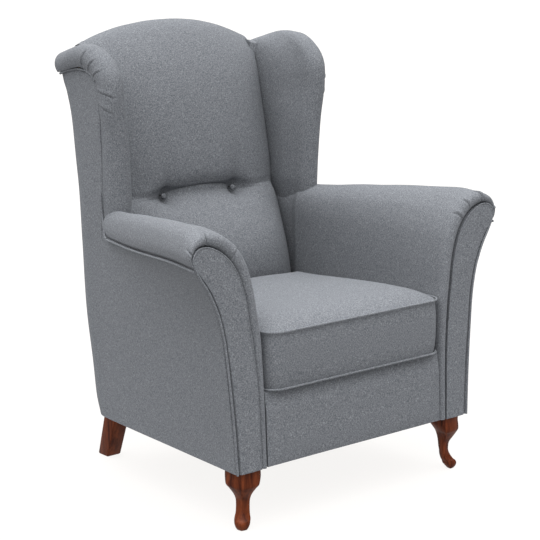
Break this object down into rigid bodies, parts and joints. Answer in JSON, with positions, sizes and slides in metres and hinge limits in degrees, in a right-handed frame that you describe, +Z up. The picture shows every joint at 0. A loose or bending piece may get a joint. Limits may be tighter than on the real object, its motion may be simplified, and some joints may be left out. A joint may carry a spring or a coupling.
{
  "type": "wingback armchair",
  "caption": "Upholstered wingback armchair with flared arms, buttoned back, a loose box cushion, cabriole front legs and raked rear legs.",
  "frame": {"origin": "on the floor, under the middle of the chair's bounding box", "axes": "+X to the sitter's left, -Y the way the chair faces, +Z up"},
  "size_m": [0.904, 0.7656, 1.045],
  "materials": {
    "fabric": "woven, heathered",
    "mahogany": "glossy varnish",
    "beech": "raw, sanded",
    "steel": "satin",
    "lining": "matt"
  },
  "bodies": {
    "chair": {"front_seat_rail": "beech", "rear_seat_rail": "beech", "left_side_seat_rail": "beech", "right_side_seat_rail": "beech", "left_arm_front_board": "beech", "right_arm_front_board": "beech", "left_arm_rail": "beech", "right_arm_rail": "beech", "left_back_post": "beech", "right_back_post": "beech", "left_wing_board": "beech", "right_wing_board": "beech", "back_top_board": "beech", "lumbar_rail": "beech", "left_front_corner_block": "beech", "right_front_corner_block": "beech", "left_rear_corner_block": "beech", "right_rear_corner_block": "beech", "seat_spring_1": "steel", "seat_spring_2": "steel", "seat_spring_3": "steel", "seat_spring_4": "steel", "left_front_leg_bolt": "steel", "right_front_leg_bolt": "steel", "left_rear_leg_bolt": "steel", "right_rear_leg_bolt": "steel", "seat_deck": "lining", "back_webbing_1": "lining", "back_webbing_2": "lining", "back_webbing_3": "lining", "back_webbing_4": "lining", "left_button_twine": "lining", "right_button_twine": "lining", "dust_cover": "lining", "left_arm_pad": "fabric", "right_arm_pad": "fabric", "left_arm_facing": "fabric", "right_arm_facing": "fabric", "left_facing_piping": "fabric", "right_facing_piping": "fabric", "left_arm_piping": "fabric", "right_arm_piping": "fabric", "left_side_panel": "fabric", "right_side_panel": "fabric", "left_wing_pad": "fabric", "right_wing_pad": "fabric", "left_wing_piping": "fabric", "right_wing_piping": "fabric", "outside_back": "fabric", "back_cushion": "fabric", "left_back_button": "fabric", "right_back_button": "fabric", "front_apron": "fabric", "left_front_leg": "mahogany", "right_front_leg": "mahogany", "left_rear_leg": "mahogany", "right_rear_leg": "mahogany"},
    "loose_cushion": {"seat_cushion": "fabric", "seat_cushion_top_piping": "fabric", "seat_cushion_bottom_piping": "fabric"}
  },
  "joints": [
    {"name": "seat_cushion_lift", "type": "slide", "parent": "chair", "child": "loose_cushion", "axis": [0, -0.6, 0.8], "range_m": [0, 0.3]}
  ]
}
